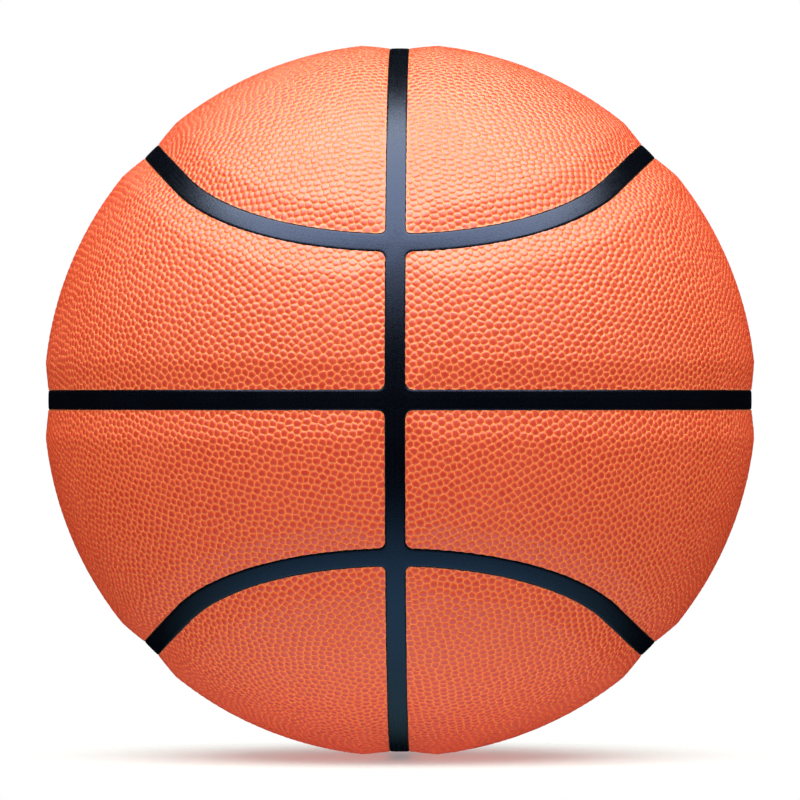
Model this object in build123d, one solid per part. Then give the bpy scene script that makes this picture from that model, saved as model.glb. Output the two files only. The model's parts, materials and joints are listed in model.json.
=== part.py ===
from build123d import *
from math import acos, asin, atan2, cos, degrees, pi, radians, sin, sqrt
import os

# A size 6 basketball of the laminated kind. A wound bladder carries a rubber carcass with raised
# black ribs, and eight foam-backed composite leather panels are glued into the pockets between them.
# Lengths are millimetres and angles are degrees. The origin is the ball's centre and +Z is up.
# The seams are two great circles (the equator and the meridian, which cross at -Y and +Y) and two
# ovals round +Z and -Z. Each oval is two small-circle arcs, at the front and the back, joined
# tangentially by two great-circle arcs at the sides, so every seam is a circle about some axis.

# Ball and seams
CIRCUMFERENCE = 723.9
CHANNEL_WIDTH = 6.35
CHANNEL_DEPTH = 1.5
FLANK_WIDTH = 7.8
SHOULDER_RADIUS = 14.0
BAND_CORNER_RADIUS = 2.4
CAP_CORNER_RADIUS = 1.8
OVAL_FRONT_LATITUDE = 25.6
OVAL_SIDE_LATITUDE = 45.0

# Layers of the wall
COVER_THICKNESS = 1.5
FOAM_EDGE_THICKNESS = 0.3
CARCASS_THICKNESS = 1.0
WINDING_THICKNESS = 0.6
BLADDER_THICKNESS = 0.8
BOND_GAP = 0.05

# Valve: a boot bonded to the bladder, with a push-in core that takes the inflation needle
VALVE_LONGITUDE = 13.0
VALVE_LATITUDE = 13.0
VALVE_RECESS = 0.5
BOOT_DIAMETER = 9.0
BOOT_LENGTH = 15.0
BOOT_FLANGE_DIAMETER = 26.0
BOOT_FLANGE_THICKNESS = 1.2
BOOT_SEAT_CLEARANCE = 0.05
CORE_HEAD_DIAMETER = 6.6
CORE_HEAD_THICKNESS = 1.6
CORE_STEM_DIAMETER = 5.0
CORE_LENGTH = 12.0
CORE_CLEARANCE = 0.05
NEEDLE_BORE_DIAMETER = 1.8
NEEDLE_BORE_DEPTH = 9.0
NEEDLE_FUNNEL_DIAMETER = 3.4
NEEDLE_FUNNEL_DEPTH = 0.8

# Radii of the layers, from the outside in
BALL_RADIUS = CIRCUMFERENCE / (2 * pi)
RIB_RADIUS = BALL_RADIUS - CHANNEL_DEPTH
POCKET_RADIUS = RIB_RADIUS - COVER_THICKNESS - FOAM_EDGE_THICKNESS
WINDING_RADIUS = POCKET_RADIUS - CARCASS_THICKNESS
BLADDER_RADIUS = WINDING_RADIUS - WINDING_THICKNESS
AIR_RADIUS = BLADDER_RADIUS - BLADDER_THICKNESS

# How far a tool reaches past the faces that it cuts
OVERRUN = 1.0
TOOL_RADIUS = BALL_RADIUS + OVERRUN

# Angles at the centre: half a channel, a flank, and from a great circle's axis to its channel's edge
HALF_CHANNEL = degrees(asin(CHANNEL_WIDTH / 2 / RIB_RADIUS))
FLANK = degrees(FLANK_WIDTH / BALL_RADIUS)
STRAIGHT = degrees(acos(CHANNEL_WIDTH / 2 / RIB_RADIUS))

# The front arc's axis leans forward by FRONT_LEAN, which makes it tangent to the side arcs
FRONT_LEAN = degrees(atan2(
    cos(radians(OVAL_FRONT_LATITUDE)) - cos(radians(OVAL_SIDE_LATITUDE)),
    sin(radians(OVAL_FRONT_LATITUDE)),
))
FRONT_POINT = Vector(0, -cos(radians(OVAL_FRONT_LATITUDE)), sin(radians(OVAL_FRONT_LATITUDE)))

# Axes of the seam circles, for the panels at +X and +Z
UP = Vector(0, 0, 1)
RIGHT = Vector(1, 0, 0)
FRONT_AXIS = Vector(0, -sin(radians(FRONT_LEAN)), cos(radians(FRONT_LEAN)))
FRONT_START = Vector(0, cos(radians(FRONT_LEAN)), sin(radians(FRONT_LEAN)))
SIDE_AXIS = Vector(sin(radians(OVAL_SIDE_LATITUDE)), 0, -cos(radians(OVAL_SIDE_LATITUDE)))
SIDE_START = Vector(-cos(radians(OVAL_SIDE_LATITUDE)), 0, -sin(radians(OVAL_SIDE_LATITUDE)))

# The front arc ends and the side arc begins on the plane through both of their axes
SECTOR_WAY = FRONT_AXIS.cross(SIDE_AXIS).normalized()
FRONT_CUT = Plane(origin=(0, 0, 0), z_dir=SECTOR_WAY)
BACK_CUT = Plane(origin=(0, 0, 0), z_dir=Vector(SECTOR_WAY.X, -SECTOR_WAY.Y, SECTOR_WAY.Z))

# Edges of the panels: axis, where the turn about it starts, and the angle from the axis to the edge
MERIDIAN_EDGE = (RIGHT, -UP, STRAIGHT)
EQUATOR_EDGE = (UP, -RIGHT, STRAIGHT)
FRONT_INSIDE = (FRONT_AXIS, FRONT_START, FRONT_AXIS.get_angle(FRONT_POINT) - HALF_CHANNEL)
FRONT_OUTSIDE = (-FRONT_AXIS, FRONT_START, FRONT_POINT.get_angle(-FRONT_AXIS) - HALF_CHANNEL)
SIDE_INSIDE = (-SIDE_AXIS, SIDE_START, STRAIGHT)
SIDE_OUTSIDE = (SIDE_AXIS, SIDE_START, STRAIGHT)


def polar(radius, angle):
    """Point of the profile plane at an angle from the axis of revolution, which is Z."""
    return Vector(radius * sin(radians(angle)), 0, radius * cos(radians(angle)))


def about(axis, start, solid):
    """Turns a solid of revolution about Z so that it lies about another axis through the centre."""
    return Plane(origin=(0, 0, 0), x_dir=start, z_dir=axis).location * solid


def cap(half_angle, inner, outer):
    """Part of a spherical shell within an angle of Z, with a radial wall at its edge."""
    middle = half_angle / 2
    outline = Wire([
        Edge.make_line(polar(inner, 0), polar(outer, 0)),
        Edge.make_three_point_arc(polar(outer, 0), polar(outer, middle), polar(outer, half_angle)),
        Edge.make_line(polar(outer, half_angle), polar(inner, half_angle)),
        Edge.make_three_point_arc(polar(inner, half_angle), polar(inner, middle), polar(inner, 0)),
    ])
    return revolve(Face(outline), Axis.Z, 360)


def dome(edge_angle, crown):
    """Solid under a panel's surface: a sphere whose edge is skived down to the channel.

    From the edge a straight flank climbs to a shoulder arc that joins the crown tangentially.
    The shoulder leaves the flank at least as long as the channel is deep, and the flank runs on
    past the edge, so that the pocket's wall can trim it.
    """
    inner = POCKET_RADIUS - OVERRUN
    edge = polar(crown - CHANNEL_DEPTH, edge_angle)
    crown_end = edge_angle - FLANK
    crown_edge = polar(crown, crown_end)
    drop = crown - edge.dot(polar(1, crown_end))
    largest = ((edge - crown_edge).length ** 2 - CHANNEL_DEPTH ** 2) / (2 * drop)
    shoulder = min(SHOULDER_RADIUS, largest)
    centre = polar(crown - shoulder, crown_end)
    to_centre = centre - edge
    tilt = degrees(asin(shoulder / to_centre.length))
    flank_way = to_centre.normalized().rotate(Axis.Y, tilt)
    flank_end = edge + flank_way * sqrt(to_centre.length ** 2 - shoulder ** 2)
    shoulder_way = (flank_end - centre) + (crown_edge - centre)
    shoulder_middle = centre + shoulder_way.normalized() * shoulder
    past_edge = edge - flank_way * (CHANNEL_WIDTH / 2)
    past_angle = degrees(atan2(past_edge.X, past_edge.Z))
    outline = Wire([
        Edge.make_line(polar(inner, 0), polar(crown, 0)),
        Edge.make_three_point_arc(polar(crown, 0), polar(crown, crown_end / 2), crown_edge),
        Edge.make_three_point_arc(crown_edge, shoulder_middle, flank_end),
        Edge.make_line(flank_end, past_edge),
        Edge.make_line(past_edge, polar(inner, past_angle)),
        Edge.make_three_point_arc(polar(inner, past_angle), polar(inner, past_angle / 2), polar(inner, 0)),
    ])
    return revolve(Face(outline), Axis.Z, 360)


def front_of(solid):
    """Part of a solid in the front arc's sector."""
    return split(solid, FRONT_CUT, Keep.BOTTOM)


def side_of(solid):
    """Part of a solid in the side arc's sector, between the front and back ones."""
    return split(split(solid, FRONT_CUT, Keep.TOP), BACK_CUT, Keep.TOP)


def joined(front, side):
    """One solid from a front sector, a side sector and the mirrored front sector at the back."""
    return side + front + mirror(front, about=Plane.XZ)


def walls(sector_of, edges, inner, outer):
    """Block of one sector between two radii, with radial walls along the given edges."""
    axis, start, angle = edges[0]
    block = sector_of(about(axis, start, cap(angle, inner, outer)))
    for step, (axis, start, angle) in enumerate(edges[1:], 1):
        reach = step * OVERRUN / 2
        block = block & about(axis, start, cap(angle, inner - reach, outer + reach))
    return block


def under(block, edges, crown):
    """Part of a sector's block that lies under the panel surface of a given crown radius."""
    for axis, start, angle in edges:
        block = block & about(axis, start, dome(angle, crown))
    return block


def panel(front_edges, side_edges, corner_radius):
    """Cover, foam and carcass tray of one panel, cut from the same blocks so that they mate.

    The tray is the carcass under the panel, with the ribs round it as far as the seams' centre lines.
    """
    front = walls(front_of, front_edges, POCKET_RADIUS, TOOL_RADIUS)
    side = walls(side_of, side_edges, POCKET_RADIUS, TOOL_RADIUS)
    corners = front.edges().filter_by(GeomType.LINE).filter_by(lambda e: e.center().X < CHANNEL_WIDTH)
    front = fillet(corners, corner_radius)
    foam_crown = BALL_RADIUS - COVER_THICKNESS
    foam_front = under(front, front_edges, foam_crown)
    foam_side = under(side, side_edges, foam_crown)
    cover_front = under(front, front_edges, BALL_RADIUS) - foam_front
    cover_side = under(side, side_edges, BALL_RADIUS) - foam_side
    front_seams = [(axis, start, angle + HALF_CHANNEL) for axis, start, angle in front_edges]
    side_seams = [(axis, start, angle + HALF_CHANNEL) for axis, start, angle in side_edges]
    tray_front = walls(front_of, front_seams, WINDING_RADIUS, RIB_RADIUS) - front
    tray_side = walls(side_of, side_seams, WINDING_RADIUS, RIB_RADIUS) - side
    return joined(cover_front, cover_side), joined(foam_front, foam_side), joined(tray_front, tray_side)


def placed(solid, upper, right):
    """Copy of a panel at +X and +Z, mirrored to the left, to below, or to both."""
    if not right:
        solid = mirror(solid, about=Plane.YZ)
    if not upper:
        solid = mirror(solid, about=Plane.XY)
    return solid


def shell(outer, inner):
    """Hollow sphere about the ball's centre."""
    return Sphere(outer) - Sphere(inner)


def post(diameter, top, bottom):
    """Cylinder along Z between two heights above the ball's centre."""
    return Pos(0, 0, (top + bottom) / 2) * Cylinder(diameter / 2, top - bottom)


# The valve lies along Z while it is made, and is then turned into place
VALVE_WAY = Vector(
    sin(radians(VALVE_LONGITUDE)) * cos(radians(VALVE_LATITUDE)),
    cos(radians(VALVE_LONGITUDE)) * cos(radians(VALVE_LATITUDE)),
    sin(radians(VALVE_LATITUDE)),
)
VALVE_PLACE = Plane(origin=(0, 0, 0), x_dir=RIGHT.cross(VALVE_WAY), z_dir=VALVE_WAY).location
VALVE_TOP = BALL_RADIUS - VALVE_RECESS
BOOT_END = VALVE_TOP - BOOT_LENGTH
CORE_SEAT = VALVE_TOP - CORE_HEAD_THICKNESS
CORE_END = VALVE_TOP - CORE_LENGTH
NEEDLE_END = VALVE_TOP - NEEDLE_BORE_DEPTH
FUNNEL_END = VALVE_TOP - NEEDLE_FUNNEL_DEPTH

# Hole for the boot through the whole wall
boot_hole = VALVE_PLACE * post(BOOT_DIAMETER + 2 * BOOT_SEAT_CLEARANCE, TOOL_RADIUS, BOOT_END)

# Boot: a neck through the wall and a flange bonded to the inside of the bladder, bored for the core
flange_radius = AIR_RADIUS - BOND_GAP
flange_angle = degrees(asin(BOOT_FLANGE_DIAMETER / 2 / flange_radius))
boot = post(BOOT_DIAMETER, VALVE_TOP, BOOT_END)
boot = boot + cap(flange_angle, flange_radius - BOOT_FLANGE_THICKNESS, flange_radius)
boot = boot - post(CORE_STEM_DIAMETER + 2 * CORE_CLEARANCE, TOOL_RADIUS, BOOT_END - OVERRUN)
boot = boot - post(CORE_HEAD_DIAMETER + 2 * CORE_CLEARANCE, TOOL_RADIUS, CORE_SEAT - CORE_CLEARANCE)

# Core: a headed plug with a funnel and a blind hole for the needle
core = post(CORE_HEAD_DIAMETER, VALVE_TOP, CORE_SEAT) + post(CORE_STEM_DIAMETER, VALVE_TOP, CORE_END)
core = core - post(NEEDLE_BORE_DIAMETER, TOOL_RADIUS, NEEDLE_END)
funnel = Cone(NEEDLE_BORE_DIAMETER / 2, NEEDLE_FUNNEL_DIAMETER / 2, NEEDLE_FUNNEL_DEPTH)
core = core - Pos(0, 0, (VALVE_TOP + FUNNEL_END) / 2) * funnel

# Panels at +X and +Z: a half-oval cap and a long band
cap_cover, cap_foam, cap_tray = panel(
    [MERIDIAN_EDGE, FRONT_INSIDE],
    [MERIDIAN_EDGE, SIDE_INSIDE],
    CAP_CORNER_RADIUS,
)
band_cover, band_foam, band_tray = panel(
    [EQUATOR_EDGE, FRONT_OUTSIDE, MERIDIAN_EDGE],
    [EQUATOR_EDGE, SIDE_OUTSIDE],
    BAND_CORNER_RADIUS,
)

# The carcass is one piece: the two trays, mirrored to the left and then to below, and bored for the boot
quarter = cap_tray + band_tray
left_quarter = mirror(quarter, about=Plane.YZ)
lower_half = mirror(quarter + left_quarter, about=Plane.XY)
carcass = (quarter - boot_hole) + left_quarter + lower_half

pieces = {
    "bladder": shell(BLADDER_RADIUS, AIR_RADIUS) - boot_hole,
    "thread_winding": shell(WINDING_RADIUS - BOND_GAP, BLADDER_RADIUS) - boot_hole,
    "carcass": carcass,
    "valve_boot": VALVE_PLACE * boot,
    "valve_core": VALVE_PLACE * core,
}

# Eight panels: "top" and "bottom" are the half-oval caps, "upper" and "lower" the long bands
for name, upper, cover, foam in (
    ("top", True, cap_cover, cap_foam),
    ("bottom", False, cap_cover, cap_foam),
    ("upper", True, band_cover, band_foam),
    ("lower", False, band_cover, band_foam),
):
    pieces["cover_" + name + "_right"] = placed(cover, upper, True)
    pieces["cover_" + name + "_left"] = placed(cover, upper, False)
    pieces["foam_" + name + "_right"] = placed(foam, upper, True)
    pieces["foam_" + name + "_left"] = placed(foam, upper, False)

# The valve comes out through the back end of the upper right band
pieces["cover_upper_right"] = pieces["cover_upper_right"] - boot_hole
pieces["foam_upper_right"] = pieces["foam_upper_right"] - boot_hole

os.makedirs("parts", exist_ok=True)
for name, piece in pieces.items():
    export_step(piece.solid(), "parts/" + name + ".step")
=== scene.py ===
"""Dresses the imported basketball: pebbled panels, rubber ribs, valve, inner layers and a white studio."""

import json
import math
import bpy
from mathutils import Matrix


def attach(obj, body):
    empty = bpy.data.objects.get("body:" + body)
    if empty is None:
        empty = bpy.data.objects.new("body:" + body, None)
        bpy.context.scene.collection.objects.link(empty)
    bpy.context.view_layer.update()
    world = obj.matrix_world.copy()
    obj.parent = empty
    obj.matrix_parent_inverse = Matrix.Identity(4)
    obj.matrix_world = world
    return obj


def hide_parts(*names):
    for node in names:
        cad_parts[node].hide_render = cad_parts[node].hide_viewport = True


bl_info = {
    "name": "Basketball Builder",
    "version": (1, 0, 0),
    "blender": (4, 5, 0),
    "location": "3D View > Sidebar > Ball",
    "description": "Builds the visible pieces of a laminated basketball round its packed solids",
    "category": "Add Mesh",
}

from functools import partial

import bpy
import numpy as np
from bpy.props import FloatProperty, FloatVectorProperty, IntProperty, PointerProperty
from mathutils import Vector
from mathutils.geometry import delaunay_2d_cdt

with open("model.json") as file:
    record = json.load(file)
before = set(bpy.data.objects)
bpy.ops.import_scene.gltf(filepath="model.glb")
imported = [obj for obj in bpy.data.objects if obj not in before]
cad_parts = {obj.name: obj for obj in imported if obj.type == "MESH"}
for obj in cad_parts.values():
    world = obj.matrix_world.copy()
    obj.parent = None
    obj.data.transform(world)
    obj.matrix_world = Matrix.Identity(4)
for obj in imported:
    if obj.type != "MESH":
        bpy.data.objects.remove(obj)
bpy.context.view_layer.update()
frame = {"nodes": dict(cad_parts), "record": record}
NEEDLE = next(m for m in frame["record"]["mounts"] if m["name"] == "needle_bore")
MILLIMETRE = 0.001

# Panel name, whether it is a half-oval cap, and the sides of the ball that it lies on
PANELS = (
    ("top_right", True, (1, 1, 1)),
    ("top_left", True, (-1, 1, 1)),
    ("bottom_right", True, (1, 1, -1)),
    ("bottom_left", True, (-1, 1, -1)),
    ("upper_right", False, (1, 1, 1)),
    ("upper_left", False, (-1, 1, 1)),
    ("lower_right", False, (1, 1, -1)),
    ("lower_left", False, (-1, 1, -1)),
)
VALVE_PANEL = "upper_right"

# Directions near the middle of a right, upper panel of each kind
CAP_MIDDLE = np.array([0.45, 0.0, 0.9])
BAND_MIDDLE = np.array([0.95, 0.0, 0.3])

# The golden angle, and a direction that no part of the ball is lined up with
GOLDEN_TURN = math.pi * (3 - math.sqrt(5))
ODD_WAY = np.array([0.31, 0.87, 0.38])

# Triangulation: filling the hull of the points or only closed edges, and the distance of equal points
FILL_HULL = 0
FILL_EDGES = 2
EQUAL_POINTS = 1e-9

# Tolerances and steps of the meshes, in metres
SNAP_TO_CUT = 0.00012
WELD = 0.000002
ON_RIM = 0.00002
RIM_CLEARANCE = 0.0035
RIB_STEP = 0.0011

# Points of hidden surfaces: their spacing as angles, and the least cosine of their angle from the middle
BACK_SPACING = 0.075
POCKET_SPACING = 0.09
HIDDEN_COSINE = -0.6

# Points round the valve's hole, the middle of the inside, a turned piece and the floor
HOLE_COUNT = 64
INSIDE_COUNT = 180
TURNED_COUNT = 96
FLOOR_COUNT = 96

# Pebbles: area of a cell in square pitches, margins outside the outline in pitches, the outline's corner
# in metres, and the least cosine of their angle from the middle
CELL_AREA = 0.866
SPARE_MARGIN = 3.0
MOVING_MARGIN = 1.6
KEPT_MARGIN = 1.5
PEBBLE_CORNER = 0.001
PEBBLE_COSINE = -0.5

# Rows of a pebble: knots of the crease, corner shoulders, side shoulders, ring and top
ROW_HEIGHTS = (-1.0, -0.26, -0.22, 0.02, 0.06)
ROW_STONE = (0.0, 0.72, 0.78, 1.0, 1.0)
INSET_LIMITS = (0.14, 0.42)
CORNER_INSET = 1.35
RING_INSET = 0.29
LEAN_SHARE = 0.6
RISE_SHARE = 0.06
NEUTRAL_TINT = 0.5

# Edge of a panel, in metres: where the relief fades, the pale band, and the corners of the shoulder
FADE_WIDTH = 0.0009
FADE_REST = 0.25
PANEL_EDGE_BAND = 0.004
SHOULDER_CORNER = 0.005

# Rows of half a rib from its middle to its edge, and the width of its edge value in metres
RIB_ROWS = np.array([0, 0.2, 0.4, 0.58, 0.72, 0.82, 0.88, 0.93, 0.97, 1.0])
RIB_EDGE_BAND = 0.003

# Roundings of the valve's rubber, in metres
CORE_LIP = 0.0003
CORE_NOSE = 0.0005
CORE_BREAK = 0.0001
BOOT_LIP = 0.0004
BOOT_SEAT_LIP = 0.0002
FLANGE_BREAK = 0.0003
FLANGE_ROWS = 8
SHARP_ANGLE = math.radians(35)

# Roughness of the rubbers
RIB_ROUGHNESS = 0.26
VALVE_ROUGHNESS = 0.5
BLADDER_ROUGHNESS = 0.35

# Lamps: place of the middle, width and depth, in metres
SOFTBOX = ((0.0, -0.27, 1.2), 2.6, 1.3)
FRONT_PANEL = ((0.0, -1.19, 1.07), 1.8, 0.6)
REAR_PANEL = ((0.0, 0.8, 1.05), 2.6, 1.0)
FILL_CARD = (1.4, 0.9)
FILL_RING_RADIUS = 1.3
FILL_RING_HEIGHT = -0.6

# What the ball mirrors: white straight behind it, and a bluish light below that is weaker behind
WHITE_BEHIND = (0.998, 0.9999)
LIGHT_AHEAD = (-0.4, 0.5, 0.95, 0.4)
LIGHT_BELOW = (-0.95, -0.5, 1.0, 0.0)
BLUISH = (0.45, 0.92, 1.0, 1.0)
WHITE = (1.0, 1.0, 1.0, 1.0)

SENSOR_WIDTH = 36.0
CAMERA_REACH = 50.0
FLOOR_GAP = 0.0002


def length(name, description, default):
    """A setting in metres."""
    return FloatProperty(
        name=name, description=description, default=default, min=0.0, unit="LENGTH", precision=5
    )


def angle(name, description, degrees):
    """A setting for an angle, whose default is given in degrees."""
    return FloatProperty(name=name, description=description, default=math.radians(degrees), subtype="ANGLE")


def share(name, description, default):
    """A setting from nought to one."""
    return FloatProperty(name=name, description=description, default=default, min=0.0, max=1.0)


def watts(name, description, default):
    """A setting for a lamp's power."""
    return FloatProperty(name=name, description=description, default=default, min=0.0, unit="POWER")


def colour(name, description, default):
    """A setting for a linear colour."""
    return FloatVectorProperty(
        name=name, description=description, default=default, size=3, min=0.0, max=1.0, subtype="COLOR"
    )


class BallShape(bpy.types.PropertyGroup):
    """Sizes of the ball, its seams and its valve."""

    circumference: length("Circumference", "Round the crowns of the panels", 0.7239)
    channel_width: length("Channel width", "Across a rib between two panels", 0.00635)
    channel_depth: length("Channel depth", "From the crown down to a rib", 0.0015)
    flank_width: length("Flank width", "From a panel's edge to its full height", 0.0098)
    shoulder_radius: length("Shoulder radius", "Round the top of a flank", 0.009)
    band_corner: length("Band corner", "Corner radius of the long panels", 0.0024)
    cap_corner: length("Cap corner", "Corner radius of the half-oval panels", 0.0018)
    front_latitude: angle("Front latitude", "Height of an oval above the equator at the front", 25.6)
    side_latitude: angle("Side latitude", "Height of an oval above the equator at the side", 45.0)
    cover_thickness: length("Cover thickness", "Thickness of the leather", 0.0015)
    foam_edge: length("Foam edge", "Thickness of the foam at a panel's edge", 0.0003)
    carcass_thickness: length("Carcass thickness", "Rubber under the panels", 0.001)
    winding_thickness: length("Winding thickness", "Thread under the carcass", 0.0006)
    bladder_thickness: length("Bladder thickness", "Rubber under the winding", 0.0008)
    bond_gap: length("Bond gap", "Between two pieces that are glued together", 0.00005)
    rib_round: length("Rib rounding", "Drop of a rib's rounded edge", 0.0004)
    rib_round_width: length("Rib rounding width", "Width of a rib's rounded edge", 0.0007)
    rib_crown: length("Rib crown", "Rise of a rib's middle", 0.00006)
    valve_hole: length("Valve hole", "Diameter of the hole for the valve boot", 0.0091)
    valve_recess: length("Valve recess", "From the crown down to the valve", 0.0005)
    boot_diameter: length("Boot diameter", "Diameter of the boot's neck", 0.009)
    boot_length: length("Boot length", "Length of the boot", 0.015)
    boot_flange: length("Boot flange", "Diameter of the flange inside the bladder", 0.026)
    boot_flange_thickness: length("Flange thickness", "Thickness of the flange", 0.0012)
    boot_bore: length("Boot bore", "Diameter of the bore for the core", 0.0051)
    boot_seat: length("Boot seat", "Diameter of the recess for the core's head", 0.0067)
    boot_seat_depth: length("Boot seat depth", "Depth of the recess for the core's head", 0.00165)
    core_head: length("Core head", "Diameter of the core's head", 0.0066)
    core_head_thickness: length("Core head thickness", "Thickness of the core's head", 0.0016)
    core_stem: length("Core stem", "Diameter of the core's stem", 0.005)
    core_length: length("Core length", "Length of the core", 0.012)
    needle_funnel: length("Needle funnel", "Diameter of the funnel's mouth", 0.0034)
    needle_funnel_depth: length("Needle funnel depth", "Depth of the funnel", 0.0008)
    needle_depth: length("Needle depth", "Depth of the needle's bore", 0.009)


class PebbleShape(bpy.types.PropertyGroup):
    """Sizes of the pebbles on the leather."""

    pitch: length("Pitch", "Mean distance between two pebbles", 0.0025)
    relief: length("Relief", "Depth of the creases between the pebbles", 0.00032)
    crease_width: length("Crease width", "Width of the creases", 0.00054)
    scatter: share("Scatter", "How far the pebbles lie from a regular pattern, in pitches", 0.18)
    relaxing: IntProperty(
        name="Relaxing", description="Rounds of evening out the pebbles", default=8, min=0, max=10
    )
    tilt: share("Tilt", "Largest slope of a pebble's top", 0.03)
    ragged: length("Ragged edge", "Wobble of the cut edge of a panel", 0.00008)
    seed: IntProperty(name="Seed", description="Number that the pattern starts from", default=11)


class BallFinish(bpy.types.PropertyGroup):
    """Colours of the ball's materials."""

    leather_top: colour("Pebble", "Tops of the pebbles", (0.585, 0.039, 0.019))
    leather_blush: colour("Pale pebble", "Paler pebbles", (0.68, 0.066, 0.032))
    leather_flank: colour("Flank", "Sides of the pebbles", (0.82, 0.098, 0.024))
    # Crease colour: partly the leather's own tone, partly a painted highlight of the lit lines round each
    # pebble
    leather_crease_and_highlight: colour("Crease", "Creases between the pebbles", (1.0, 0.43, 0.085))
    leather_cut: colour("Cut edge", "Cut edge of the leather", (0.80, 0.22, 0.10))
    rubber: colour("Rubber", "Ribs", (0.0009, 0.0014, 0.0028))
    rubber_worn: colour("Worn rubber", "Dusty and rubbed places of the ribs", (0.0022, 0.0030, 0.0050))
    rubber_gloss: colour("Rubber gloss", "Tint of the light that rubber mirrors", (0.45, 0.54, 1.0))
    valve: colour("Valve rubber", "Valve boot and core", (0.011, 0.011, 0.012))
    foam: colour("Foam", "Backing pads", (0.62, 0.55, 0.40))
    thread: colour("Thread", "Winding", (0.70, 0.68, 0.62))
    bladder: colour("Bladder", "Butyl bladder", (0.016, 0.016, 0.017))


class StudioSetup(bpy.types.PropertyGroup):
    """Camera, light and floor."""

    distance: length("Camera distance", "From the ball's centre to the camera", 2.77)
    turn: angle("Camera turn", "Turn of the camera to the right", 0.8)
    lens: FloatProperty(name="Lens", description="Focal length", default=385.0, min=1.0, unit="CAMERA")
    key_colour: colour("Key colour", "Tint of the softbox and the two panels", (0.93, 1.0, 0.90))
    fill_colour: colour("Fill colour", "Tint of the low cards", (0.89, 0.86, 1.0))
    key_power: watts("Key power", "Softbox overhead", 53.0)
    rear_power: watts("Rear power", "Weaker panel behind the softbox", 10.0)
    front_power: watts("Front power", "Weaker panel in front", 4.6)
    fill_power: watts("Fill power", "Mean of the low cards in the ring", 5.8)
    fill_lead: share("Fill lead", "Share by which a card in front is stronger", 0.5)
    fill_count: IntProperty(name="Fill cards", description="Cards in the ring", default=6, min=3)
    sky: share("Sky", "Strength of the light from all round", 0.12)
    floor_colour: colour("Floor", "Colour of the floor", (0.93, 0.93, 0.93))
    floor_radius: length("Floor radius", "Radius of the floor", 0.6)
    floor_clear: share("Floor clearness", "How clear the floor is under the ball", 0.25)
    shadow_reach: length("Shadow reach", "From under the ball to where the floor is clear", 0.2)


# Directions and triangles


def unit(v):
    """Vectors divided by their lengths."""
    return v / np.linalg.norm(v, axis=-1, keepdims=True)


def spiral(count):
    """Golden spiral: directions with heights in equal steps, each a golden angle on from the last."""
    step = np.arange(count) + 0.5
    height = 1 - 2 * step / count
    wide = np.sqrt(1 - height * height)
    turn = GOLDEN_TURN * step
    return np.stack([wide * np.cos(turn), wide * np.sin(turn), height], axis=1)


def basis(way):
    """Two directions square to one, so that the three are right-handed."""
    first = unit(np.cross(ODD_WAY, way))
    return first, np.cross(way, first)


def ring_turns(count):
    """Angles of evenly spaced points of a ring, and the edges from each point to the next."""
    number = np.arange(count)
    turns = np.linspace(0, 2 * math.pi, count, endpoint=False)
    return turns, np.stack([number, (number + 1) % count], axis=1)


def spokes(way, count):
    """Evenly turned directions square to an axis."""
    first, second = basis(way)
    turn, _ = ring_turns(count)
    return np.cos(turn)[:, None] * first + np.sin(turn)[:, None] * second


def quads(a, b, c, d):
    """Two triangles for each four corners, which are given as four equal grids of point numbers."""
    return np.concatenate([np.stack([a, b, c], -1).reshape(-1, 3), np.stack([a, c, d], -1).reshape(-1, 3)])


def edges_of(faces):
    """Directed edges of triangles: all the first ones, then the second and the third ones."""
    return np.concatenate([faces[:, [0, 1]], faces[:, [1, 2]], faces[:, [2, 0]]])


def numbered(edges):
    """Points that edges use, in rising order, and the edges by their places in that order."""
    points, places = np.unique(edges, return_inverse=True)
    return points, places.reshape(-1, 2)


def flatten(ways, centre):
    """Stereographic picture of the sphere, seen from the point opposite to the centre: (x, y) / (1 + z)."""
    first, second = basis(centre)
    scale = 1 / (1 + ways @ centre)
    return np.stack([ways @ first * scale, ways @ second * scale], axis=1)


def net(ways, centre, edges=None):
    """Delaunay triangles of directions, counter-clockwise from outside, kept inside the edges if any."""
    lines = [] if edges is None else edges.tolist()
    mode = FILL_HULL if edges is None else FILL_EDGES
    flat = flatten(ways, centre).tolist()
    _, _, faces, origins, _, _ = delaunay_2d_cdt(flat, lines, [], mode, EQUAL_POINTS)
    if any(len(origin) != 1 for origin in origins):
        raise RuntimeError("the triangulation added or merged points")
    back = np.array(origins).reshape(-1)
    return back[np.array(faces)]


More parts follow.
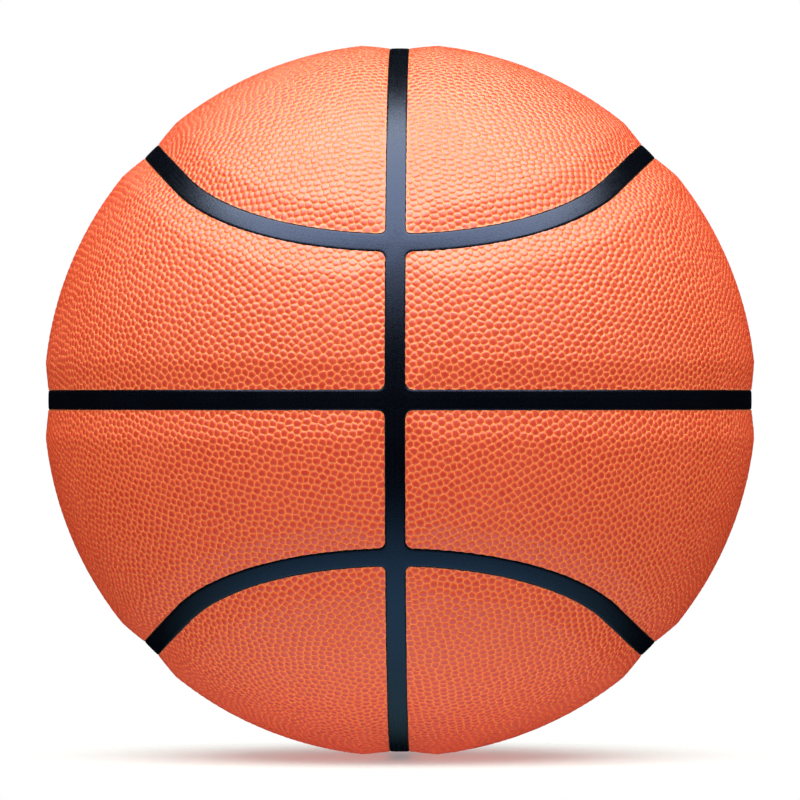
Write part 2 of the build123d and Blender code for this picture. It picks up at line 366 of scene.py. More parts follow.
class Seams:
    """Radii, angles and seam circles of the ball, in metres and radians, worked out from the settings.

    The seams are the equator, the meridian and two ovals. Each oval is a small circle about an axis that
    leans to the front, joined tangentially to a great circle at the side, and mirrored to the back.
    """

    def __init__(self, shape):
        self.shape = shape
        self.ball = shape.circumference / (2 * math.pi)
        self.rib = self.ball - shape.channel_depth
        self.pocket = self.rib - shape.cover_thickness - shape.foam_edge
        self.inside = self.pocket - shape.carcass_thickness
        self.half_channel = math.asin(shape.channel_width / 2 / self.rib)
        front, side = shape.front_latitude, shape.side_latitude
        self.lean = math.atan2(math.cos(front) - math.cos(side), math.sin(front))
        self.front_radius = math.pi / 2 - front - self.lean
        self.front_axis = np.array([0, -math.sin(self.lean), math.cos(self.lean)])
        self.front_down = np.array([0, -math.cos(self.lean), -math.sin(self.lean)])
        self.side_axis = np.array([math.sin(side), 0, -math.cos(side)])
        self.side_middle = np.array([math.cos(side), 0, math.sin(side)])
        self.sector = unit(np.cross(self.front_axis, self.side_axis))
        self.valve = unit(np.array(NEEDLE["axis"], dtype=float))
        self.valve_hole = shape.valve_hole / 2
        self.valve_top = self.ball - shape.valve_recess

    def angles(self, ways, sides):
        """Angles from the meridian, the equator and the oval, positive towards the panels of that side."""
        turned = ways * np.array(sides)
        turned[:, 1] = -np.abs(turned[:, 1])
        near = np.clip(turned, -1, 1)
        front = self.front_radius - np.arccos(np.clip(near @ self.front_axis, -1, 1))
        side = -np.arcsin(np.clip(near @ self.side_axis, -1, 1))
        oval = np.where(near @ self.sector < 0, front, side)
        return np.arcsin(near[:, 0]), np.arcsin(near[:, 2]), oval

    def within(self, ways, cap, sides, corner):
        """Distance inside a panel's outline, whose corners are rounded by a radius."""
        meridian, equator, oval = self.angles(ways, sides)
        corner = corner / self.rib
        half = self.half_channel
        if cap:
            inside = round_min(meridian - half, oval - half, corner)
        else:
            low = round_min(meridian - half, equator - half, corner)
            inside = np.minimum(low, round_min(meridian - half, -oval - half, corner))
        return inside * self.ball

    def past_valve(self, ways):
        """Distance outside the valve's hole."""
        return np.arccos(np.clip(ways @ self.valve, -1, 1)) * self.ball - self.valve_hole

    def outline(self, name, cap, sides, ragged=0.0):
        """Function of directions: the distance inside a panel's cut edge, and outside the valve's hole."""
        corner = self.shape.cap_corner if cap else self.shape.band_corner

        def field(ways):
            inside = self.within(ways, cap, sides, corner) - ragged * (1 + wobble(ways))
            return np.minimum(inside, self.past_valve(ways)) if name == VALVE_PANEL else inside

        return field

    def dip(self, distance):
        """Drop of a panel's surface: a straight flank from the edge, then a shoulder arc up to the crown."""
        shape = self.shape
        flank = shape.flank_width
        arc = flank - math.sqrt(flank ** 2 - 2 * shape.shoulder_radius * shape.channel_depth)
        slope = arc / shape.shoulder_radius
        near = np.clip(distance, 0, flank)
        straight = shape.channel_depth - slope * near
        rounded = (flank - near) ** 2 / (2 * shape.shoulder_radius)
        return np.where(near < flank - arc, straight, rounded)


def middle_of(cap, sides):
    """Direction near the middle of a panel."""
    return unit((CAP_MIDDLE if cap else BAND_MIDDLE) * np.array(sides))


def round_min(a, b, radius):
    """Smaller of two distances, with the corner where they meet rounded to a radius."""
    corner = radius - np.hypot(np.maximum(radius - a, 0), np.maximum(radius - b, 0))
    return np.where((a < radius) & (b < radius), corner, np.minimum(a, b))


def wobble(ways):
    """Smooth waves from about -1 to 1: sines of three slanting directions, 2 mm long or longer."""
    slants = np.array([[170.0, 231.0, 119.0], [-223.0, 141.0, 187.0], [197.0, -163.0, 241.0]])
    swell = 1.4
    return np.sin(ways @ slants.T).mean(axis=1) * swell


def onto(field, ways):
    """Directions moved down a field's slope to where the field is nought, in two steps."""
    step = 1e-5
    least_slope = 1e-12
    for _ in range(2):
        value = field(ways)
        first = unit(np.cross(ways, ODD_WAY))
        second = np.cross(ways, first)
        along = (field(unit(ways + step * first)) - value) / step
        across = (field(unit(ways + step * second)) - value) / step
        slope = first * along[:, None] + second * across[:, None]
        ways = unit(ways - slope * (value / np.maximum(along ** 2 + across ** 2, least_slope))[:, None])
    return ways


def clip(ways, extra, triangles, field, snap):
    """Part of a net of triangles where a field is positive, cut along the line where it is nought.

    Corners within the snap distance of that line are moved onto it. The other cuts are put on the net's
    edges in proportion to the field at their ends, and the extra values are interpolated there.
    """
    value = field(ways)
    near = np.abs(value) < snap
    ways = ways.copy()
    ways[near] = onto(field, ways[near])
    value[near] = 0
    sign = np.sign(value).astype(int)
    corner = sign[triangles]
    up = (corner > 0).sum(1)
    down = (corner < 0).sum(1)

    def chosen(rising, falling, lead):
        """Triangles with so many corners on each side, turned so that the leading corner comes first."""
        mine = (up == rising) & (down == falling)
        start = np.argmax(corner[mine] == lead, 1)
        return np.take_along_axis(triangles[mine], (start[:, None] + np.arange(3)) % 3, axis=1)

    kept = triangles[(down == 0) & (up > 0)]
    one = chosen(1, 2, 1)
    two = chosen(2, 1, -1)
    half = chosen(1, 1, 0)
    cuts = np.concatenate([one[:, [0, 1]], one[:, [0, 2]], two[:, [0, 1]], two[:, [0, 2]], half[:, [1, 2]]])
    pairs, where = np.unique(np.sort(cuts, axis=1), axis=0, return_inverse=True)
    where = where.reshape(-1) + len(ways)
    part = value[pairs[:, 0]] / (value[pairs[:, 0]] - value[pairs[:, 1]])
    part = part[:, None]
    cut_ways = unit(ways[pairs[:, 0]] * (1 - part) + ways[pairs[:, 1]] * part)
    cut_ways = onto(field, cut_ways)
    cut_extra = extra[pairs[:, 0]] * (1 - part) + extra[pairs[:, 1]] * part
    ends = np.cumsum([len(one), len(one), len(two), len(two)])
    one_b, one_c, two_b, two_c, half_c = np.split(where, ends)
    rising = sign[half[:, 1]] > 0
    half_b = np.where(rising, half[:, 1], half_c)
    half_d = np.where(rising, half_c, half[:, 2])
    parts = [
        kept,
        np.stack([one[:, 0], one_b, one_c], 1),
        np.stack([two_b, two[:, 1], two[:, 2]], 1),
        np.stack([two_b, two[:, 2], two_c], 1),
        np.stack([half[:, 0], half_b, half_d], 1),
    ]
    all_ways = np.concatenate([ways, cut_ways])
    all_extra = np.concatenate([extra, cut_extra])
    faces = unfolded(all_ways, np.concatenate(parts))
    used, faces = np.unique(faces, return_inverse=True)
    return all_ways[used], all_extra[used], faces.reshape(-1, 3)


def whole(faces):
    """Triangles that have three different corners."""
    a, b, c = faces.T
    return faces[(a != b) & (b != c) & (c != a)]


def unfolded(ways, faces):
    """Triangles whose rim never doubles back: a corner where it would is merged with the next one."""
    most_rounds = 6
    for _ in range(most_rounds):
        rim = rim_of(faces, len(ways))
        here = rim[:, 0]
        before = np.zeros(len(ways), dtype=int)
        after = np.zeros(len(ways), dtype=int)
        before[rim[:, 1]] = here
        after[here] = rim[:, 1]
        turn = np.sum((ways[here] - ways[before[here]]) * (ways[after[here]] - ways[here]), axis=1)
        fold = np.zeros(len(ways), dtype=bool)
        fold[here] = turn < 0
        first = here[fold[here] & ~fold[before[here]]]
        if len(first) == 0:
            break
        swap = np.arange(len(ways))
        swap[first] = after[first]
        faces = whole(swap[faces])
    return faces


def rim_of(faces, count):
    """Directed edges that only one triangle has."""
    edges = edges_of(faces)
    here = edges[:, 0] * count + edges[:, 1]
    back = edges[:, 1] * count + edges[:, 0]
    return edges[~np.isin(here, back)]


def wall(rim, upper, lower):
    """Triangles from each rim edge down to a second row of points."""
    start, end = rim.T
    return quads(upper[end], upper[start], lower[start], lower[end])


def closed_floor(seams, ways, edges, centre, spacing, field):
    """Net inside closed edges, with a spiral of inner points a spacing apart and clear of the edges.

    Triangles with all three corners on the rim of the valve's hole would cover it, and are left out.
    """
    inner = spiral(int(4 * math.pi / spacing ** 2))
    inner = inner[(field(inner) > RIM_CLEARANCE) & (inner @ centre > HIDDEN_COSINE)]
    every = np.concatenate([ways, inner])
    faces = net(every, centre, edges)
    on_hole = np.abs(seams.past_valve(every)) < ON_RIM
    return inner, faces[~on_hole[faces].all(axis=1)]


# Meshes


def put_mesh(name, points, faces, values=None, sharp=None):
    """Smooth mesh object from points in metres, triangles, named point values and flags for sharp rims."""
    mesh = bpy.data.meshes.new(name)
    mesh.vertices.add(len(points))
    mesh.vertices.foreach_set("co", np.ascontiguousarray(points, dtype=np.float32).ravel())
    mesh.loops.add(faces.size)
    mesh.loops.foreach_set("vertex_index", np.ascontiguousarray(faces, dtype=np.int32).ravel())
    mesh.polygons.add(len(faces))
    mesh.polygons.foreach_set("loop_start", np.arange(0, faces.size, faces.shape[1], dtype=np.int32))
    mesh.polygons.foreach_set("use_smooth", np.ones(len(faces), dtype=bool))
    mesh.update(calc_edges=True)
    for key, value in (values or {}).items():
        attribute = mesh.attributes.new(key, "FLOAT", "POINT")
        attribute.data.foreach_set("value", np.ascontiguousarray(value, dtype=np.float32))
    if sharp is not None:
        ends = np.empty(len(mesh.edges) * 2, dtype=np.int32)
        mesh.edges.foreach_get("vertices", ends)
        ends = ends.reshape(-1, 2)
        flags = mesh.attributes.new("sharp_edge", "BOOLEAN", "EDGE")
        flags.data.foreach_set("value", (sharp[ends[:, 0]] & sharp[ends[:, 1]]))
    if mesh.validate():
        raise RuntimeError(name + " has faulty faces")
    piece = bpy.data.objects.new(name, mesh)
    bpy.context.scene.collection.objects.link(piece)
    return piece


def dress(piece, material, body, slot, *nodes):
    """Gives a piece its material and its body, and hides the solids that it stands for. The slot is not used.
    """
    piece.data.materials.append(material)
    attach(piece, body)
    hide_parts(*nodes)


# Pebbled panels


def pebble_seeds(seams, pebble, cap, sides, centre, rng):
    """Middles of the pebbles of one panel: a turned golden spiral, scattered and then evened out.

    Each round of evening out moves a middle to the mean of the corners of its Voronoi cell.
    """
    spacing = pebble.pitch / seams.ball
    ways = spiral(int(4 * math.pi / (CELL_AREA * spacing ** 2)))
    turn, _ = np.linalg.qr(rng.normal(size=(3, 3)))
    ways = unit(ways @ turn + rng.normal(scale=pebble.scatter * spacing, size=ways.shape))
    depth = seams.within(ways, cap, sides, PEBBLE_CORNER)
    near = (depth > -SPARE_MARGIN * pebble.pitch) & (ways @ centre > PEBBLE_COSINE)
    ways = ways[near]
    movable = depth[near] > -MOVING_MARGIN * pebble.pitch
    for _ in range(pebble.relaxing):
        faces = net(ways, centre)
        knots = cell_corners(ways, faces)
        total = np.zeros_like(ways)
        np.add.at(total, faces.ravel(), np.repeat(knots, 3, axis=0))
        ways = np.where(movable[:, None], unit(total), ways)
    return ways


def cell_corners(ways, faces):
    """Directions at the same distance from the three corners of each triangle."""
    a, b, c = ways[faces[:, 0]], ways[faces[:, 1]], ways[faces[:, 2]]
    knots = unit(np.cross(b - a, c - a))
    return knots * np.sign(np.sum(knots * a, axis=1, keepdims=True))


def pebble_net(seams, pebble, cap, sides, centre, rng):
    """Net of pebbles: each Voronoi cell is a flat-topped stone in a crease.

    A cell is cut into one wedge for each neighbour. From the crease, which runs between the cell's knots,
    the wedge climbs to shoulders half a crease's width further in, on to a ring and to the top.
    Returns directions, (lift, stone, tint) of each, and triangles.
    """
    seeds = pebble_seeds(seams, pebble, cap, sides, centre, rng)
    faces = net(seeds, centre)
    count, total = len(faces), len(seeds)
    knots = cell_corners(seeds, faces)

    # Two triangles that share a side give a wedge to the cell at each of its ends
    sides_of = edges_of(faces)
    owner = np.tile(np.arange(count), 3)
    corner = np.repeat(np.arange(3), count)
    key = sides_of.min(1) * total + sides_of.max(1)
    order = np.argsort(key, kind="stable")
    same = key[order][1:] == key[order][:-1]
    one, other = order[:-1][same], order[1:][same]
    pairs = len(one)
    seed = np.concatenate([sides_of[one, 0], sides_of[one, 1]])
    start = np.concatenate([owner[other], owner[one]])
    start_corner = np.concatenate([(corner[other] + 1) % 3, (corner[one] + 1) % 3])
    end = np.concatenate([owner[one], owner[other]])
    end_corner = np.concatenate([corner[one], corner[other]])
    side = np.tile(np.arange(pairs), 2)

    # Share of a cell's half width that the crease takes
    least_near = 1e-6
    half_gap = np.linalg.norm(seeds[sides_of[one, 0]] - seeds[sides_of[one, 1]], axis=1) / 2
    near = np.bincount(seed, weights=np.tile(half_gap, 2), minlength=total)
    near = near / np.maximum(np.bincount(seed, minlength=total), 1)
    inset = np.clip(pebble.crease_width / 2 / (seams.ball * np.maximum(near, least_near)), *INSET_LIMITS)

    middles = unit(knots[owner[one]] + knots[owner[other]])
    corner_seed = faces.ravel()
    corner_knot = np.repeat(knots, 3, axis=0)
    corner_way = seeds[corner_seed] - corner_knot
    corner_inset = inset[corner_seed][:, None] * CORNER_INSET
    shoulders = unit(corner_knot + corner_way * corner_inset)
    rings = unit(corner_knot + corner_way * (RING_INSET + corner_inset))
    edge_shoulders = unit(middles[side] + (seeds[seed] - middles[side]) * inset[seed][:, None])

    # Lift, stone and tint of each row, with every stone leaning, rising and shaded by itself
    ways = np.concatenate([knots, shoulders, edge_shoulders, rings, seeds])
    cell = np.concatenate([np.full(count, -1), corner_seed, seed, corner_seed, np.arange(total)])
    sizes = (count, 3 * count, 2 * pairs, 3 * count, total)
    height = np.repeat(ROW_HEIGHTS, sizes) * pebble.relief
    stone = np.repeat(ROW_STONE, sizes)
    lean = rng.normal(size=(total, 3)) * pebble.tilt * LEAN_SHARE
    rise = rng.normal(size=total) * pebble.relief * RISE_SHARE
    shade = rng.random(total)
    on_stone = cell >= 0
    own = np.where(on_stone, cell, 0)
    tilted = np.sum((ways - seeds[own]) * lean[own], axis=1) * seams.ball + rise[own]
    height = height + np.where(on_stone, tilted, 0)
    tint = np.where(on_stone, shade[own], NEUTRAL_TINT)

    # Seven triangles of a wedge: knots p and q, shoulders ap, am and aq, ring points cp and cq, and the top
    base = np.cumsum((0,) + sizes)
    p, q = start, end
    ap = base[1] + 3 * start + start_corner
    aq = base[1] + 3 * end + end_corner
    am = base[2] + np.arange(2 * pairs)
    cp = base[3] + 3 * start + start_corner
    cq = base[3] + 3 * end + end_corner
    top = base[4] + seed
    wedges = np.stack(
        [p, q, am, p, am, ap, q, aq, am, ap, am, cp, am, aq, cq, am, cq, cp, cp, cq, top], axis=1
    )
    close = seams.within(seeds, cap, sides, PEBBLE_CORNER) > -KEPT_MARGIN * pebble.pitch
    triangles = wedges[close[seed]].reshape(-1, 3)
    return ways, np.stack([height, stone, tint], axis=1), triangles


def pebbled_panel(seams, pebble, name, cap, sides, rng):
    """Closed mesh of one panel: the pebble net cut to the outline, walls down its cut edge and a smooth back.

    The surface lies on the ball, less the dip towards the edge and plus the pebbles, whose relief fades
    at the cut. The back lies a leather's thickness under the smooth surface.
    """
    centre = middle_of(cap, sides)
    field = seams.outline(name, cap, sides, pebble.ragged)

    def smooth(places):
        """Radius of the panel's surface without its pebbles."""
        return seams.ball - seams.dip(seams.within(places, cap, sides, SHOULDER_CORNER))

    ways, extra, triangles = pebble_net(seams, pebble, cap, sides, centre, rng)
    ways, extra, triangles = clip(ways, extra, triangles, field, SNAP_TO_CUT)
    lift, stone, tint = extra.T
    depth = np.maximum(field(ways), 0)
    fade = np.clip(FADE_REST + depth / FADE_WIDTH, 0, 1)
    top = ways * (smooth(ways) + lift * fade)[:, None]

    ring, rim = numbered(rim_of(triangles, len(ways)))
    inner, floor = closed_floor(seams, ways[ring], rim, centre, BACK_SPACING, field)
    back_ways = np.concatenate([ways[ring], inner])
    back = back_ways * (smooth(back_ways) - seams.shape.cover_thickness)[:, None]

    count = len(top)
    faces = np.concatenate([
        triangles,
        wall(rim, ring, count + np.arange(len(ring))),
        floor[:, ::-1] + count,
    ])
    zeros = np.zeros(len(back))
    sharp = np.concatenate([stone == 0, zeros > 0])
    sharp[ring] = True
    sharp[count:count + len(ring)] = True
    values = {
        "pebble": np.concatenate([stone, zeros]),
        "tint": np.concatenate([tint, zeros + NEUTRAL_TINT]),
        "edge": np.concatenate([np.clip(depth / PANEL_EDGE_BAND, 0, 1), zeros]),
    }
    return put_mesh("panel_" + name, np.concatenate([top, back]), faces, values, sharp)


# Ribs


def on_equator(along, up):
    """Direction at a longitude from the front and a latitude."""
    return np.stack([np.sin(along) * np.cos(up), -np.cos(along) * np.cos(up), np.sin(up)], axis=1)


def on_meridian(out, up):
    """Direction at an angle out from the meridian and a turn up it from the front."""
    return np.stack([np.sin(out), -np.cos(out) * np.cos(up), np.cos(out) * np.sin(up)], axis=1)


def on_front(seams, out, below):
    """Direction at an angle out from the meridian and an angle below the oval's front arc."""
    level = np.cos(seams.front_radius + below)
    x = np.sin(out)
    ahead = np.sqrt(1 - level ** 2 - x ** 2)
    along = level[:, None] * seams.front_axis + ahead[:, None] * seams.front_down
    return along + x[:, None] * np.array([1, 0, 0])


def on_front_arc(seams, turn, below):
    """Direction at a turn about the front arc's axis and an angle below the arc."""
    wide = np.sin(seams.front_radius + below)
    level = np.cos(seams.front_radius + below)
    ahead = (wide * np.cos(turn))[:, None] * seams.front_down
    return level * seams.front_axis + ahead + (wide * np.sin(turn))[:, None] * np.array([1, 0, 0])


def on_side_arc(seams, turn, below):
    """Direction at a turn along the oval's side arc towards the front and an angle below the arc."""
    middle = np.cos(turn)[:, None] * seams.side_middle + np.sin(turn)[:, None] * np.array([0, -1, 0])
    return middle * math.cos(below) + seams.side_axis * math.sin(below)


def round_corner(a, b, half, radius):
    """Outline point for a seam point (a, b) near a crossing: a rounded corner of the offset seams.

    The corner's centre is half a channel plus the radius from both seams, and the outline point lies on
    the way from the centre to the seam point. Past the centre it lies straight beside the seam point.
    """
    reach = half + radius
    way = unit(np.stack([np.minimum(a - reach, 0), np.minimum(b - reach, 0)], axis=1))
    return np.maximum(a, reach) + radius * way[:, 0], np.maximum(b, reach) + radius * way[:, 1]


def octant_paths(seams, step):
    """Seam lines and panel outlines of one octant (right, front, upper), as pairs of matching rows.

    The band's path runs along the equator from the side to the front, up the meridian and out along the
    oval. The cap's path runs in along the oval and up the meridian to the pole.
    """
    half = seams.half_channel
    band = seams.shape.band_corner / seams.rib
    cap = seams.shape.cap_corner / seams.rib
    latitude = seams.shape.front_latitude
    reach = half + band
    quarter = math.pi / 2
    join = unit(np.cross(np.cross(seams.front_axis, seams.side_axis), seams.side_axis))
    join = join * np.sign(join[0])
    side_turn = math.atan2(-join[1], join @ seams.side_middle)
    front_turn = math.atan2(join[0], join @ seams.front_down)
    near_turn = math.asin(math.sin(reach) / math.sin(seams.front_radius))

    def run(start, stop):
        """Evenly spaced angles, about a step apart."""
        return np.linspace(start, stop, max(int(abs(stop - start) / step), 2) + 1)

    def beside(place, level, radius, start, stop, side=1):
        """Rows along a level or an upright seam, and along the outline on one side of it."""
        a = run(start, stop)
        x, y = (a, 0 * a) if level else (0 * a, a)
        u, v = round_corner(x, y, half, radius)
        return place(x, side * y), place(u, side * v)

    def arc(place, start, stop, below):
        """Rows along an arc of the oval, and along the outline at an angle below it."""
        a = run(start, stop)
        return place(a, 0), place(a, below)

    def joined(rows):
        """One path from rows that each start where the row before ends."""
        return tuple(np.concatenate([line[0]] + [row[1:] for row in line[1:]]) for line in zip(*rows))

    front, front_arc, side_arc = (partial(place, seams) for place in (on_front, on_front_arc, on_side_arc))
    band_path = joined([
        beside(on_equator, True, band, quarter, reach),
        beside(on_equator, True, band, reach, 0),
        beside(on_meridian, False, band, 0, reach),
        beside(on_meridian, False, band, reach, latitude - reach),
        beside(front, False, band, reach, 0),
        beside(front, True, band, 0, reach),
        arc(front_arc, near_turn, front_turn, half),
        arc(side_arc, side_turn, 0, half),
    ])
    cap_path = joined([
        arc(side_arc, 0, side_turn, -half),
        arc(front_arc, front_turn, near_turn, -half),
        beside(front, True, cap, reach, 0, -1),
        beside(front, False, cap, 0, reach, -1),
        beside(on_meridian, False, cap, latitude + reach, quarter),
    ])
    return band_path, cap_path


def ribbon(seams, seam, outline):
    """Half a rib from the seam line out to a panel's outline.

    Along a row the direction goes evenly from the seam to the outline. The radius has a low crown in the
    middle of the rib and a quarter-round drop at its edge.
    """
    shape = seams.shape
    across = RIB_ROWS
    fullest = 0.999
    ways = unit(seam[:, None] * (1 - across)[None, :, None] + outline[:, None] * across[None, :, None])
    width = np.linalg.norm(outline - seam, axis=1) * seams.rib
    left = width[:, None] * (1 - across)[None]
    edge = np.clip(1 - left / shape.rib_round_width, 0, 1)
    drop = shape.rib_round * (1 - np.sqrt(1 - np.minimum(edge, fullest) ** 2))
    radius = seams.rib - drop + shape.rib_crown * (1 - across[None] ** 2)
    long, wide = radius.shape
    index = np.arange(long * wide).reshape(long, wide)
    faces = quads(index[:-1, :-1], index[1:, :-1], index[1:, 1:], index[:-1, 1:])
    points = (ways * radius[:, :, None]).reshape(-1, 3)
    return points, faces, np.clip(left / RIB_EDGE_BAND, 0, 1).ravel(), index[:, -1]


def outward(points, faces):
    """Faces turned so that the first of them looks away from the ball's centre."""
    a, b, c = points[faces[0]]
    flip = np.dot(np.cross(b - a, c - a), a) < 0
    return faces[:, ::-1] if flip else faces


def mirrored_ribs(seams):
    """Outer skin of all the ribs: one octant's ribs, mirrored to the other seven and welded.

    Returns points, edge values, triangles, and the points on the outline of each panel.
    """
    points, faces, edge = [], [], []
    loops = {}
    start = 0
    for cap, path in zip((False, True), octant_paths(seams, RIB_STEP / seams.ball)):
        strip, strip_faces, strip_edge, rim = ribbon(seams, *path)
        for x in (1, -1):
            for y in (1, -1):
                for z in (1, -1):
                    mirrored = strip * np.array([x, y, z])
                    points.append(mirrored)
                    faces.append(outward(mirrored, strip_faces) + start)
                    edge.append(strip_edge)
                    loops.setdefault((cap, x, z), []).append(rim + start)
                    start += len(strip)
    points = np.concatenate(points)
    places = np.round(points / WELD).astype(np.int64)
    _, first, weld = np.unique(places, axis=0, return_index=True, return_inverse=True)
    weld = weld.reshape(-1)
    outlines = {key: np.unique(weld[np.concatenate(rims)]) for key, rims in loops.items()}
    return points[first], np.concatenate(edge)[first], whole(weld[np.concatenate(faces)]), outlines


class Shell:
    """Collects the points, edge values, sharp flags and triangles of one closed mesh."""

    def __init__(self):
        self.points, self.edge, self.sharp, self.faces = [], [], [], []
        self.count = 0

    def add(self, points, edge=None, sharp=()):
        """Adds points, some of them on sharp rims, and returns the numbers that they have in the mesh."""
        flags = np.zeros(len(points), dtype=bool)
        flags[np.asarray(sharp, dtype=int)] = True
        self.points.append(points)
        self.edge.append(np.zeros(len(points)) if edge is None else edge)
        self.sharp.append(flags)
        self.count += len(points)
        return self.count - len(points) + np.arange(len(points))

    def put(self, name):
        """Mesh object of what was collected."""
        values = {"edge": np.concatenate(self.edge)}
        sharp = np.concatenate(self.sharp)
        return put_mesh(name, np.concatenate(self.points), np.concatenate(self.faces), values, sharp)


def rib_carcass(seams):
    """Closed mesh of the carcass: ribs with rounded edges, pockets for the panels and a hollow inside.

    Each pocket has a wall down from the outline and a floor, and the inside is two half spheres that
    meet in the meridian plane. The valve's hole is a tube from a pocket's floor to the inside.
    """
    points, edge, faces, outlines = mirrored_ribs(seams)
    rim = rim_of(faces, len(points))
    shell = Shell()
    shell.add(points, edge, rim.ravel())
    shell.faces.append(faces)

    _, hole_edges = ring_turns(HOLE_COUNT)
    wide = seams.valve_hole / seams.ball
    hole = seams.valve * math.cos(wide) + spokes(seams.valve, HOLE_COUNT) * math.sin(wide)
    for name, cap, sides in PANELS:
        mine = outlines[(cap, sides[0], sides[2])]
        chosen = rim[np.isin(rim[:, 0], mine) & np.isin(rim[:, 1], mine)]
        ring, ring_edges = numbered(chosen)
        ways, edges = unit(points[ring]), ring_edges
        if name == VALVE_PANEL:
            edges = np.concatenate([edges, hole_edges + len(ways)])
            ways = np.concatenate([ways, hole])
        field = seams.outline(name, cap, sides)
        inner, floor = closed_floor(seams, ways, edges, middle_of(cap, sides), POCKET_SPACING, field)
        rows = shell.add(np.concatenate([ways, inner]) * seams.pocket, sharp=np.arange(len(ways)))
        shell.faces += [wall(ring_edges, ring, rows), rows[floor]]
        if name == VALVE_PANEL:
            mouth = rows[len(ring):len(ways)]

    turn, circle_edges = ring_turns(INSIDE_COUNT)
    circle = np.stack([0 * turn, np.cos(turn), np.sin(turn)], axis=1)
    circle_rows = shell.add(circle * seams.inside)
    throat = shell.add(hole * seams.inside)
    for side in (1, -1):
        ways, edges, rows = circle, circle_edges, circle_rows
        if side > 0:
            ways = np.concatenate([circle, hole])
            edges = np.concatenate([circle_edges, hole_edges + INSIDE_COUNT])
            rows = np.concatenate([circle_rows, throat])

        def field(w, side=side):
            return np.minimum(w[:, 0] * side * seams.ball, seams.past_valve(w))

        centre = np.array([side, 0, 0.0])
        inner, cup = closed_floor(seams, ways, edges, centre, POCKET_SPACING, field)
        rows = np.concatenate([rows, shell.add(inner * seams.inside)])
        shell.faces.append(rows[cup][:, ::-1])
    shell.faces.append(wall(hole_edges[:, ::-1], mouth, throat))
    return shell.put("ribs")


# Valve


def turned(name, profile, way, closed):
    """Solid of revolution: a profile of (radius, height) turned about an axis through the ball's centre.

    An open profile starts and ends on the axis, where its first and last points become single ones.
    """
    profile = np.array(profile)
    body = profile if closed else profile[1:-1]
    points = body[:, 1, None, None] * way + body[:, 0, None, None] * spokes(way, TURNED_COUNT)[None]
    rows = len(body)
    index = np.arange(rows * TURNED_COUNT).reshape(rows, TURNED_COUNT)
    upper = np.roll(index, -1, axis=0) if closed else index[1:]
    lower = index if closed else index[:-1]
    faces = [quads(lower, np.roll(lower, -1, axis=1), np.roll(upper, -1, axis=1), upper)]
    points = points.reshape(-1, 3)
    if not closed:
        ends = profile[[0, -1], 1, None] * way
        points = np.concatenate([points, ends])
        bottom, top = np.full(TURNED_COUNT, len(points) - 2), np.full(TURNED_COUNT, len(points) - 1)
        faces.append(np.stack([np.roll(index[0], -1), index[0], bottom], 1))
        faces.append(np.stack([index[-1], np.roll(index[-1], -1), top], 1))
    piece = put_mesh(name, points, np.concatenate(faces))
    piece.data.set_sharp_from_angle(angle=SHARP_ANGLE)
    return piece


def bend(centre, radius, start, stop, count=6):
    """Points of a rounded corner of a profile: an arc about a centre between two angles in degrees."""
    turn = np.radians(np.linspace(start, stop, count))
    return np.stack([centre[0] + radius * np.cos(turn), centre[1] + radius * np.sin(turn)], 1).tolist()


def core_profile(shape, top):
    """Profile of the core from its lower end, up its stem and head, and down the needle's funnel and bore."""
    stem, head, mouth = shape.core_stem / 2, shape.core_head / 2, shape.needle_funnel / 2
    bore = NEEDLE["dims"]["r_mm"] * MILLIMETRE
    end = top - shape.core_length
    seat = top - shape.core_head_thickness
    funnel = top - shape.needle_funnel_depth
    profile = [[0, end]]
    profile += bend((stem - CORE_NOSE, end + CORE_NOSE), CORE_NOSE, -90, 0)
    profile += [[stem, seat], [head - CORE_BREAK, seat], [head, seat + CORE_BREAK]]
    profile += bend((head - CORE_LIP, top - CORE_LIP), CORE_LIP, 0, 90)
    profile += bend((mouth + CORE_BREAK, top - CORE_BREAK), CORE_BREAK, 90, 150, 3)
    profile += [[bore + CORE_BREAK, funnel + CORE_BREAK], [bore, funnel - CORE_BREAK]]
    profile += [[bore, top - shape.needle_depth], [0, top - shape.needle_depth]]
    return profile


def boot_profile(shape, inside, top):
    """Profile of the boot: up the outside, round the domed flange under the bladder, and down the bore."""
    neck, bore, seat = shape.boot_diameter / 2, shape.boot_bore / 2, shape.boot_seat / 2
    flange, thick = shape.boot_flange / 2, shape.boot_flange_thickness
    under = inside - shape.winding_thickness - shape.bladder_thickness - shape.bond_gap
    end = top - shape.boot_length
    seat_floor = top - shape.boot_seat_depth
    spread = np.linspace(neck, flange - FLANGE_BREAK, FLANGE_ROWS)

    def dome(radius, wide):
        """Point at a radius from the ball's centre and a distance from the valve's axis."""
        return [wide, math.sqrt(radius ** 2 - wide ** 2)]

    profile = [[bore, end], [neck - BOOT_LIP, end]]
    profile += bend((neck - BOOT_LIP, end + BOOT_LIP), BOOT_LIP, -90, 0)
    profile += [dome(under - thick, wide) for wide in spread]
    profile += [dome(under - thick / 2, flange)]
    profile += [dome(under, wide) for wide in spread[::-1]]
    profile += bend((neck - BOOT_LIP, top - BOOT_LIP), BOOT_LIP, 0, 90)
    profile += bend((seat + BOOT_SEAT_LIP, top - BOOT_SEAT_LIP), BOOT_SEAT_LIP, 90, 180)
    profile += [[seat, seat_floor], [bore, seat_floor]]
    return profile


# Materials


